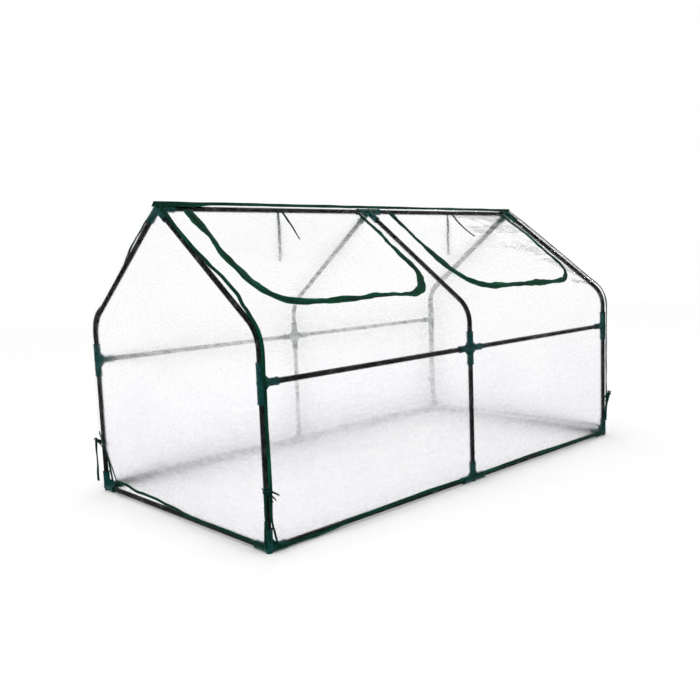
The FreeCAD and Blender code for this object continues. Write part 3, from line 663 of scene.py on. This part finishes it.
def make_camera():
    heading, pitch, roll = (math.radians(a) for a in CAMERA_TURN)
    level = math.cos(pitch)
    ahead = Vector((level * math.sin(heading), level * math.cos(heading), -math.sin(pitch)))
    across = ahead.cross(Vector((0, 0, 1))).normalized()
    upward = across.cross(ahead)
    right = across * math.cos(roll) + upward * math.sin(roll)
    top = upward * math.cos(roll) - across * math.sin(roll)
    camera = add_object("camera", bpy.data.cameras.new("camera"))
    camera.data.lens = CAMERA_LENS
    camera.data.sensor_width = 36.0
    turned = Matrix((right, top, -ahead)).transposed().to_4x4()
    camera.matrix_world = Matrix.Translation(CAMERA_AT) @ turned
    bpy.context.scene.camera = camera


def soft_light(name, at, target, size, power):
    lamp = bpy.data.lights.new(name, "AREA")
    lamp.shape = "RECTANGLE"
    lamp.size, lamp.size_y = size
    lamp.energy = power
    made = add_object(name, lamp)
    made.location = at
    made.rotation_euler = (Vector(target) - Vector(at)).to_track_quat("-Z", "Y").to_euler()


def make_studio():
    world = bpy.data.worlds.new("studio")
    world.use_nodes = True
    sky = world.node_tree.nodes["Background"].inputs
    sky["Color"].default_value = (1, 1, 1, 1)
    sky["Strength"].default_value = 1.0
    bpy.context.scene.world = world
    bpy.context.scene.view_settings.view_transform = "Standard"
    soft_light("key", (-2.6, -1.2, 2.6), (0, 0, 0.4), (1.2, 0.7), 12)
    soft_light("rim", (1.6, 2.4, 2.2), (0, 0, 0.5), (1.6, 0.6), 8)
    cut = [(0, 0), (1, 0), (1, 1), (0, 1)]
    corners = [((2 * p - 1) * FLOOR_HALF, (2 * q - 1) * FLOOR_HALF, 0) for p, q in cut]
    floor = build("studio_floor", corners, [(0, 1, 2, 3)], cut, [floor_material()])
    floor.location.z = -FLOOR_DROP


# ---- ties


def smooth_path(name, route):
    """Points along the NURBS curve whose control points are the route's."""
    curve = bpy.data.curves.new(name + "_line", "CURVE")
    curve.dimensions = "3D"
    spline = curve.splines.new("NURBS")
    spline.points.add(len(route) - 1)
    for point, at in zip(spline.points, route):
        point.co = (*at, 1)
    spline.order_u = 3
    spline.use_endpoint_u = True
    spline.resolution_u = 16
    holder = add_object(name + "_line", curve)
    bpy.context.view_layer.update()
    mesh = bpy.data.meshes.new_from_object(holder.evaluated_get(bpy.context.evaluated_depsgraph_get()))
    points = [v.co.copy() for v in mesh.vertices]
    bpy.data.objects.remove(holder)
    return points


# A flat tape's cross-section: across it in half widths, and out of its flat side in thicknesses
RIBBON_RING = (
    (-1, 0.2), (-0.9, 0.5), (0, 0.62), (0.9, 0.5), (1, 0.2),
    (1, -0.2), (0.9, -0.5), (0, -0.38), (-0.9, -0.5), (-1, -0.2))
RIBBON_ACROSS = (0, 0.05, 0.5, 0.95, 1, 1, 0.95, 0.5, 0.05, 0)


def ribbon(sweep, path, facing, width, thickness, twist, taper=None, loop=False):
    """Sweeps a thin flat tape along a free path: facing is its flat side's way at the start, and
    twist(share) turns it about the path."""
    rings = []
    length = 0.0
    flat = Vector(facing)
    for i, at in enumerate(path):
        if loop:
            along = (path[(i + 1) % len(path)] - path[i - 1]).normalized()
        else:
            along = (path[min(i + 1, len(path) - 1)] - path[max(i - 1, 0)]).normalized()
        if i:
            length += (at - path[i - 1]).length
        flat = (flat - along * flat.dot(along)).normalized()
        share = i / (len(path) - 1)
        turned = Matrix.Rotation(twist(share), 3, along) @ flat
        side = along.cross(turned)
        half = width / 2 * (taper(share) if taper else 1.0)
        ring = [at + side * (q * half) + turned * (up * thickness) for q, up in RIBBON_RING]
        rings.append((ring, length))
    sweep.run(rings, [width * s for s in RIBBON_ACROSS], loop=loop)
    return length


TIE_WIDTH = 0.009
TIE_THICKNESS = 0.0009
TIE_LEVEL = 0.0152  # the outer ties' height over the slope's tube line


def on_slope(x_middle, route):
    """An outer tie's (across, down the slope) route as points just above the front slope."""
    out = []
    for across, along in route:
        y = -along * COS - TIE_LEVEL * SIN
        out.append((x_middle + across, y, RIDGE_Z - along * SIN + TIE_LEVEL * COS))
    return out


# The ties' routes, from where they are sewn to their free ends
OUTER_TIES = {
    "left": [(0.004, 0.022), (0.001, 0.052), (-0.007, 0.084), (-0.012, 0.118), (-0.022, 0.152),
             (-0.031, 0.188)],
    "right": [(0.010, 0.022), (0.003, 0.050), (-0.008, 0.078), (-0.013, 0.112), (-0.014, 0.146),
              (-0.008, 0.186)],
}
INNER_TIES = {
    "left": [(-0.434, -0.0115, 0.938), (-0.434, -0.012, 0.916), (-0.432, -0.013, 0.880),
             (-0.433, -0.012, 0.842), (-0.431, -0.011, 0.804), (-0.433, -0.010, 0.770)],
    "right": [(0.443, -0.0115, 0.938), (0.443, -0.012, 0.915), (0.445, -0.013, 0.880),
              (0.443, -0.011, 0.843), (0.445, -0.010, 0.806), (0.444, -0.012, 0.768)],
}
# Corner ties hang from the knots: outward from the knot's centre line, and up from the ground
CORNER_TAILS = {
    ("front", "left"): [(0, 0, 0.174), (0.001, 0.0015, 0.150), (0.004, 0.001, 0.120),
                        (0.002, 0.002, 0.088), (-0.003, 0.001, 0.060), (-0.008, 0.002, 0.034)],
    ("back", "left"): [(0, 0, 0.174), (0.002, 0.001, 0.148), (0.003, -0.004, 0.118),
                       (0.002, -0.002, 0.086), (0.003, 0.001, 0.058), (0.001, 0.004, 0.032)],
    ("front", "right"): [(0, 0, 0.174), (-0.012, -0.001, 0.152), (-0.022, -0.002, 0.128),
                         (-0.028, -0.001, 0.105), (-0.031, -0.002, 0.085), (-0.030, -0.001, 0.066)],
    ("back", "right"): [(0, 0, 0.174), (0.001, 0.001, 0.150), (0.002, -0.003, 0.122),
                        (0.001, -0.006, 0.094), (0.002, -0.005, 0.068), (0.001, -0.002, 0.044)],
}
KNOT_OUT = 0.019
KNOT_Z = 0.178
KNOT_SIZE = 0.0029
KNOT_POINTS = 72
FRAY = Vector((-CORNER - 0.002, HALF_WIDTH - 0.085, 0.034))  # the hem tape's frayed end


def make_tie(name, route, facing, turns, sway=0.5, body=None):
    """One woven tie as a flat twisting tape. A tie given a body is left in place and attached to nothing; the
    others ride on the frame.
    """
    path = smooth_path(name, route)
    sweep = Sweep()

    def twist(share):
        return turns * smooth(share) + sway * math.sin(5 * share)

    length = ribbon(sweep, path, facing, TIE_WIDTH, TIE_THICKNESS, twist)
    piece = sweep.build(name + "_tape", [MATERIALS["tie_ribbon"]])
    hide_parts(name)
    if body:
        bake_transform(piece)
    else:
        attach(piece, "root")


def trefoil(t):
    """A point of a flattened trefoil knot about the origin."""
    x = math.sin(t) + 2 * math.sin(2 * t)
    y = math.cos(t) - 2 * math.cos(2 * t)
    return Vector((x, y, -1.3 * math.sin(3 * t)))


def make_knots():
    """A pulled-tight knot with three short loose ends at each corner, and the hem's frayed end."""
    sweep = Sweep()
    for seed, (wall, end) in enumerate(CORNER_TAILS):
        side_x, side_y = ENDS[end], WALLS[wall]
        centre = Vector((side_x * (HALF_SPAN + KNOT_OUT), side_y * (HALF_WIDTH + KNOT_OUT), KNOT_Z))
        spin = Matrix.Rotation(1.1 * seed + 0.4, 3, "Z") @ Matrix.Rotation(1.25, 3, "X")
        loop = []
        for i in range(KNOT_POINTS):
            loop.append(centre + spin @ trefoil(2 * math.pi * i / KNOT_POINTS) * KNOT_SIZE)
        ribbon(sweep, loop, (0.3, 0.2, 1), 0.0056, 0.0013, lambda s: 0.0, loop=True)
        for k in range(3):
            lean = Vector((-side_x, -side_y * 0.10, -0.30 - 0.42 * k)).normalized()
            step = 0.0064 - 0.0009 * k
            tail = [centre + lean * (0.004 + step * i) + Vector((0, side_y * 0.0001, -0.0002)) * i * i
                    for i in range(8)]
            ribbon(sweep, tail, (-0.5, -0.8, 0.2), 0.0080, TIE_THICKNESS,
                   lambda s: 0.6 * s + 0.3 * k, lambda s: 1.0 - 0.5 * s)
    for k in range(5):
        lean = Vector((-0.25, -1.0, 0.45 - 0.2 * k)).normalized()
        tail = [FRAY + lean * (0.0085 * i) for i in range(7)]
        ribbon(sweep, tail, (1, 0, 0.3), 0.0075, TIE_THICKNESS,
               lambda s: 0.8 * s + 0.5 * k, lambda s: 1.0 - 0.8 * s)
    finish_sweep(sweep, "corner_knots", "tie_ribbon", "corner_tie_knots")


def make_ties():
    for side, sign in ENDS.items():
        outer = on_slope(sign * WINDOW_X, OUTER_TIES[side])
        make_tie("window_tie_outer_" + side, outer, (0, -SIN, COS), 0.25 * sign, 0.12, side + "_flap_1")
        make_tie("window_tie_inner_" + side, INNER_TIES[side], (0.3, -1, 0), 1.3)
    for (wall, end), tail in CORNER_TAILS.items():
        x = ENDS[end] * (HALF_SPAN + KNOT_OUT)
        y = WALLS[wall] * (HALF_WIDTH + KNOT_OUT)
        route = [(x + ENDS[end] * p, y + WALLS[wall] * q, z) for p, q, z in tail]
        make_tie("corner_tie_%s_%s" % (wall, end), route, (0.7, 0.7, 0), 0.7)
    make_knots()


# ---- film sheets


def from_zip(x, v, x_middle):
    """Signed distance outward from a window's zip line, and its direction in (x, v)."""
    across = abs(x - x_middle) - (ZIP_HALF - ZIP_RADIUS)
    along = v - (ZIP_BOTTOM - ZIP_RADIUS)
    sign = 1 if x > x_middle else -1
    if across > 0 and along > 0:
        reach = math.hypot(across, along)
        return reach - ZIP_RADIUS, (sign * across / reach, along / reach)
    if across > along:
        return across - ZIP_RADIUS, (sign, 0)
    return along - ZIP_RADIUS, (0, 1)


def side_edge(z, wall, end):
    """A front or back sheet's side edge at height z, as a distance from the middle of the object."""
    top, run, _ = NOTCH[(wall, end)]
    leave = 0.022 * smooth((top + 0.02 - z) / 0.02)
    return CORNER - leave - notch_in(z, top, run)


CELL = 0.0088  # the size of the front and back sheets' faces
CUT_OFF = 0.006  # how far outside the zip's line the window is cut out
SNAP = 0.55  # points within this share of a cell move onto the cut
HEM_LEVEL = 0.02  # the hem's usual height, for the sheets' flat sizes


def make_sheet(wall, windows):
    """A front or back sheet: roof slope, eave bend and wall in one, cut out for the windows."""
    side = WALLS[wall]
    surface = cover(side)
    top = -FILM * SIN / COS
    columns = steps(-CORNER, CORNER, CELL)
    rows = list(steps(top, FLAP_START, CELL)) + list(steps(FLAP_START, BEND_END, CELL)[1:])
    walls = steps(0.0, 1.0, CELL / (wall_v(HEM_LEVEL) - BEND_END))[1:]
    count = len(rows) + len(walls)
    grid = {}
    points, uvs, faces = [], [], []

    def uv_at(i, j):
        x = columns[i]
        if j < len(rows):
            v = rows[j]
        else:
            v = BEND_END + (wall_v(HEM[wall](x)) - BEND_END) * walls[j - len(rows)]
            end = "left" if x < 0 else "right"
            x *= side_edge(wall_z(v), wall, end) / CORNER
        for middle_x in windows:
            off, way = from_zip(x, v, middle_x)
            if v > FLAP_START - 1e-6 and abs(off - CUT_OFF) < CELL * SNAP:
                x += way[0] * (CUT_OFF - off)
                v += way[1] * (CUT_OFF - off)
        return x, v

    def vertex(i, j):
        if (i, j) not in grid:
            x, v = uv_at(i, j)
            grid[(i, j)] = len(points)
            points.append(surface(x, v))
            uvs.append((x, v))
        return grid[(i, j)]

    for j in range(count - 1):
        for i in range(len(columns) - 1):
            corners = [uv_at(i, j), uv_at(i + 1, j), uv_at(i + 1, j + 1), uv_at(i, j + 1)]
            x = sum(c[0] for c in corners) / 4
            v = sum(c[1] for c in corners) / 4
            if v > FLAP_START and any(from_zip(x, v, m)[0] < CUT_OFF for m in windows):
                continue
            faces.append((vertex(i, j), vertex(i + 1, j), vertex(i + 1, j + 1), vertex(i, j + 1)))
    piece = build_film(wall + "_sheet", points, faces, uvs)
    hand_over(piece, "clear_film", wall + "_wall_film", wall + "_roof_film")


def make_end_sheet(end):
    """A gable end: rows run from the back profile to the front one."""
    surface = end_cover(ENDS[end])
    top = -FILM * SIN / COS + 0.002
    levels = list(steps(top, BEND_START, 0.010)) + list(steps(BEND_START, BEND_END, 0.008)[1:])
    levels += list(steps(BEND_END, wall_v(0.03), 0.010)[1:])
    shares = np.linspace(-1, 1, 96)
    points, uvs = [], []
    for v in levels:
        (y, z), _ = profile(v, FILM)
        for share in shares:
            wall = "front" if share < 0 else "back"
            notch_top, _, run = NOTCH[(wall, end)]
            at_y = share * (abs(y) - (notch_in(z, notch_top, run) if v > BEND_END else 0.0))
            at_z = z
            if v > BEND_END:
                low = HEM[end](at_y)
                at_z = WALL_TOP - (WALL_TOP - low) * (v - BEND_END) / (levels[-1] - BEND_END)
            points.append(surface(at_y, at_z))
            uvs.append((at_y, wall_v(at_z)))
    faces = grid_faces(len(levels), len(shares))
    piece = build_film(end + "_end_sheet", points, faces, uvs)
    hand_over(piece, "clear_film", end + "_end_film")


# ---- bindings


def make_seam_binding(end):
    """The folded binding on the seam between an end sheet and the front and back sheets: it
    wanders beside the end arch, runs down the corner and parts round the notch at the foot."""
    sweep = Sweep()
    sign = ENDS[end]
    for wall, side in WALLS.items():
        surface = cover(side)
        top, run, end_run = NOTCH[(wall, end)]
        stagger = {"front": 0.0, "back": 4.0}[wall] + sign
        line = []
        for v in steps(-FILM * SIN / COS + 0.003, wall_v(top), 0.005):
            inward = SEAM_IN[end](v) + 0.0016 * waver(v, 0.05, stagger)
            line.append((sign * (HALF_SPAN - inward), v))
        path = with_normals(line, -sign)

        def curl(length, seed=stagger):
            return 0.0035 + 0.0035 * waver(length, 0.07, seed + 2)

        def inner(length, seed=stagger):
            narrowed = 0.0056 - 0.0020 * smooth((length - BEND_START) / 0.1)
            return narrowed + 0.0014 * waver(length, 0.045, seed + 3)

        def outer(length, seed=stagger):
            return -SEAM_FIN[end] - 0.0014 * waver(length, 0.05, seed + 6)

        lay_tape(sweep, surface, path, outer, inner, -0.0008, BINDING_THICKNESS, curl)
        foot_x = line[-1][0]
        low = HEM[wall](foot_x) - 0.004
        leg = []
        for z in steps(top + 0.004, low, 0.005):
            drop = 1 - (z - low) / (top + 0.004 - low)
            leg.append((foot_x - sign * run * drop + 0.0012 * waver(z, 0.02, stagger), wall_v(z)))
        lay_tape(sweep, surface, with_normals(leg, -sign), -LEG_HALF, LEG_HALF, -0.0009,
                 BINDING_THICKNESS)
        ends = end_cover(sign)
        edge = []
        for z in steps(top + 0.004, HEM[end](side * HALF_WIDTH) - 0.004, 0.005):
            y = side * (HALF_WIDTH + 0.004 - notch_in(z, top, end_run))
            edge.append((y + 0.001 * waver(z, 0.02, stagger + 5), z))
        lay_tape(sweep, ends, with_normals(edge, side), -LEG_HALF, LEG_HALF, -0.0009,
                 BINDING_THICKNESS)
    finish_sweep(sweep, end + "_gable_binding_tape", "green_binding", end + "_gable_binding")


def make_hem():
    """The folded tape that closes the cover's lower edge, loose in places."""
    sweep = Sweep()
    for wall, side in WALLS.items():
        surface = cover(side)
        low_x = -side_edge(HEM[wall](-CORNER), wall, "left")
        high_x = side_edge(HEM[wall](CORNER), wall, "right")
        line = []
        for x in steps(low_x, high_x, 0.008):
            line.append((x, wall_v(HEM[wall](x) + 0.0012 * waver(x, 0.05, 11 + side))))
        lay_tape(sweep, surface, with_normals(line), -0.0055, 0.0060, -0.0010, HEM_THICKNESS,
                 lambda length: 0.0012 + 0.0012 * waver(length, 0.06, 14))
    for end, sign in ENDS.items():
        surface = end_cover(sign)
        low_y = -(HALF_WIDTH + FILM - NOTCH[("front", end)][2] * 0.8)
        high_y = HALF_WIDTH + FILM - NOTCH[("back", end)][2] * 0.8
        line = []
        for y in steps(low_y, high_y, 0.008):
            line.append((y, HEM[end](y) + 0.0030 * waver(y, 0.045, 17 + sign)))
        lay_tape(sweep, surface, with_normals(line), -0.0050, 0.0050, -0.0010, HEM_THICKNESS)
    finish_sweep(sweep, "hem_tape", "green_binding", "hem_binding")


def make_ridge_binding():
    """The narrow folded tape along the ridge seam, which stands up as a low fin."""
    sweep = Sweep()
    rings = []
    leg = through([(-0.89, 0.015), (-0.76, 0.016), (-0.68, 0.005), (0.7, 0.004), (0.89, 0.008)])
    peak = RIDGE_Z + FILM / COS
    for x in steps(-CORNER, CORNER, 0.007):
        reach = leg(x) + 0.0008 * waver(x, 0.06, 31)
        lift = 0.0012 + 0.0010 * waver(x, 0.11, 33)
        lean = 0.0016 * waver(x, 0.16, 35)
        tip = peak + 0.0066 + 0.0014 * waver(x, 0.09, 37)
        out_y = reach * COS
        edge_z = peak - reach * SIN + lift
        fold_z = peak + 0.0004 + lift
        under_z = peak - 0.0014 + lift
        ring = [(-out_y, edge_z), (-0.0022, fold_z), (-0.0010 + lean, tip - 0.0007), (lean, tip),
                (0.0010 + lean, tip - 0.0007), (0.0022, fold_z), (out_y, edge_z),
                (out_y, edge_z - 0.0012), (0.0012, under_z), (-0.0012, under_z),
                (-out_y, edge_z - 0.0012)]
        rings.append(([Vector((x, y, z)) for y, z in ring], x + CORNER))
    across = [0.0, 0.009, 0.013, 0.014, 0.015, 0.019, 0.028, 0.028, 0.019, 0.009, 0.0]
    sweep.run(rings, across)
    finish_sweep(sweep, "ridge_tape", "green_binding", "ridge_binding")


# ---- windows


def zip_path(x_middle, size):
    """(x, v, outward x, outward v, length) round a window's U from its top left to its top right."""
    left, right = x_middle - ZIP_HALF, x_middle + ZIP_HALF
    bend_v = ZIP_BOTTOM - ZIP_RADIUS

    def arc(centre_x, ways):
        return [(centre_x + p * ZIP_RADIUS, bend_v + q * ZIP_RADIUS, p, q) for p, q in ways]

    turns = steps(0, math.pi / 2, size / ZIP_RADIUS)[1:]
    path = [(left, v, -1, 0) for v in steps(ZIP_TOP, bend_v, size)]
    path += arc(left + ZIP_RADIUS, [(-math.cos(turn), math.sin(turn)) for turn in turns])
    path += [(x, ZIP_BOTTOM, 0, 1) for x in steps(left + ZIP_RADIUS, right - ZIP_RADIUS, size)[1:]]
    path += arc(right - ZIP_RADIUS, [(math.sin(turn), math.cos(turn)) for turn in turns])
    path += [(right, v, 1, 0) for v in steps(bend_v, ZIP_TOP, size)[1:]]
    return measured(path)


def clip(path, low, high):
    """The runs of a path whose v lies from low to high, cut exactly at those levels."""
    runs = []
    current = []
    for a, b in zip(path, path[1:]):
        cuts = [0.0, 1.0]
        for level in (low, high):
            if (a[1] - level) * (b[1] - level) < 0:
                cuts.append((level - a[1]) / (b[1] - a[1]))
        cuts.sort()
        for s, t in zip(cuts, cuts[1:]):
            middle_v = a[1] + (b[1] - a[1]) * (s + t) / 2
            if low <= middle_v < high:
                if not current:
                    current.append(tuple(p + (q - p) * s for p, q in zip(a, b)))
                current.append(tuple(p + (q - p) * t for p, q in zip(a, b)))
            elif current:
                runs.append(current)
                current = []
    if current:
        runs.append(current)
    return runs


TEETH_OFF = 0.0014
TEETH_RADIUS = 0.0014
TEETH_PITCH = 0.0026
TEETH_HEIGHT = 0.0017  # the coil's middle, over the film
COIL_SIDES = 6
RUFFLED = (0.25, 1.66)  # where the zip's tape curls most, along its U
RUFFLE_RAMP = 0.2


def lay_coil(sweep, surface, path, off):
    """Half of the zip's coil: a bead whose ribs follow the teeth's pitch."""
    rings = []
    for x, v, nx, nv, length in path:
        swell = 1 + 0.28 * math.sin(2 * math.pi * length / TEETH_PITCH + (0 if off > 0 else math.pi))
        ring = []
        for k in range(COIL_SIDES):
            turn = math.pi * 2 * k / COIL_SIDES
            q = off + math.cos(turn) * TEETH_RADIUS
            lift = TEETH_HEIGHT + math.sin(turn) * TEETH_RADIUS * swell
            ring.append(surface(x + nx * q, v + nv * q, lift))
        rings.append((ring, length))
    sweep.run(rings, [0.0004 * k for k in range(COIL_SIDES)], 1)


def ruffle(seed, strength):
    """The height that a tape's loose edge curls to: more at the corners and along the bottom."""
    def value(length):
        first = smooth((length - RUFFLED[0]) / RUFFLE_RAMP)
        corner = 0.25 + 0.75 * first * smooth((RUFFLED[1] - length) / RUFFLE_RAMP)
        curled = 0.55 + 0.9 * waver(length, 0.085, seed) + 0.35 * waver(length, 0.028, seed + 1)
        return strength * corner * curled
    return value


def uneven(width, seed):
    """A tape's width, which wanders along it."""
    def value(length):
        share = 0.82 + 1.0 * waver(length, 0.13, seed) + 0.28 * waver(length, 0.032, seed + 1)
        return width * max(share, 0.30)
    return value


def make_window(side):
    """The zip's fixed half, and the flap with the other half in strips split midway between the folds; the strips
    are left in place, attached to nothing.
    """
    x_middle = ENDS[side] * WINDOW_X
    surface = cover(-1)
    seed = 41 + 10 * ENDS[side]
    tape_path = zip_path(x_middle, TAPE_STEP)
    coil_path = zip_path(x_middle, TEETH_PITCH / 3)
    outer_width, outer_curl = uneven(TAPE_WIDTH, seed), ruffle(seed + 3, 0.0030)
    inner_width, inner_curl = uneven(-TAPE_WIDTH, seed + 5), ruffle(seed + 7, 0.0055)

    def lay_inner_half(sweep, low, high):
        for run in clip(tape_path, low, high):
            lay_tape(sweep, surface, run, -ZIP_GAP, inner_width, TAPE_LIFT, TAPE_THICKNESS, inner_curl)
        for run in clip(coil_path, low, high):
            lay_coil(sweep, surface, run, -TEETH_OFF)

    fixed = Sweep()
    lay_tape(fixed, surface, tape_path, ZIP_GAP, outer_width, TAPE_LIFT, TAPE_THICKNESS, outer_curl)
    lay_coil(fixed, surface, coil_path, TEETH_OFF)
    lay_inner_half(fixed, ZIP_TOP - 0.001, FLAP_START)
    hand_over(fixed.build("zip_tape_" + side, TAPES), "zip_tape", "window_zip_" + side)

    flap_end = ZIP_BOTTOM - FLAP_INSET
    middles = [(a + b) / 2 for a, b in zip(HINGES, HINGES[1:])]
    edges = [FLAP_START] + middles + [flap_end]
    for i in range(FLAPS):
        low, high = edges[i], edges[i + 1]
        film = flap_film("window_flap_%s_%d" % (side, i + 1), x_middle, low, high, surface)
        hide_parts("window_flap_%s_strip_%d" % (side, i + 1))
        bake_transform(film)
        tape = Sweep()
        last = i == FLAPS - 1
        lay_inner_half(tape, low, ZIP_BOTTOM + 0.01 if last else high)
        edge = tape.build("flap_tape_%s_%d" % (side, i + 1), TAPES)
        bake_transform(edge)


def flap_film(name, x_middle, low, high, surface):
    """The film of one stretch of a flap, as wide as the zip leaves it."""
    radius = ZIP_RADIUS - FLAP_INSET
    bend_v = ZIP_BOTTOM - ZIP_RADIUS
    levels = list(steps(low, high, 0.0055))
    last = high > ZIP_BOTTOM - 0.01
    if last:
        turns = np.linspace(math.asin((low - bend_v) / radius), math.pi / 2, 22)
        levels = [bend_v + radius * math.sin(t) for t in turns]
    shares = np.linspace(-1, 1, 80)
    points, uvs = [], []
    for v in levels:
        drop = max(0.0, v - bend_v)
        half = ZIP_HALF - ZIP_RADIUS + math.sqrt(max(radius ** 2 - drop ** 2, 0.0))
        for share in shares:
            x = x_middle + share * half
            points.append(surface(x, v))
            uvs.append((x, v))
    piece = build_film(name, points, grid_faces(len(levels), len(shares)), uvs)
    return piece


# ---- the scene

make_camera()
make_studio()
make_ties()
make_sheet("front", [-WINDOW_X, WINDOW_X])
make_sheet("back", [])
for name in ENDS:
    make_end_sheet(name)
    make_seam_binding(name)
    make_window(name)
make_hem()
make_ridge_binding()
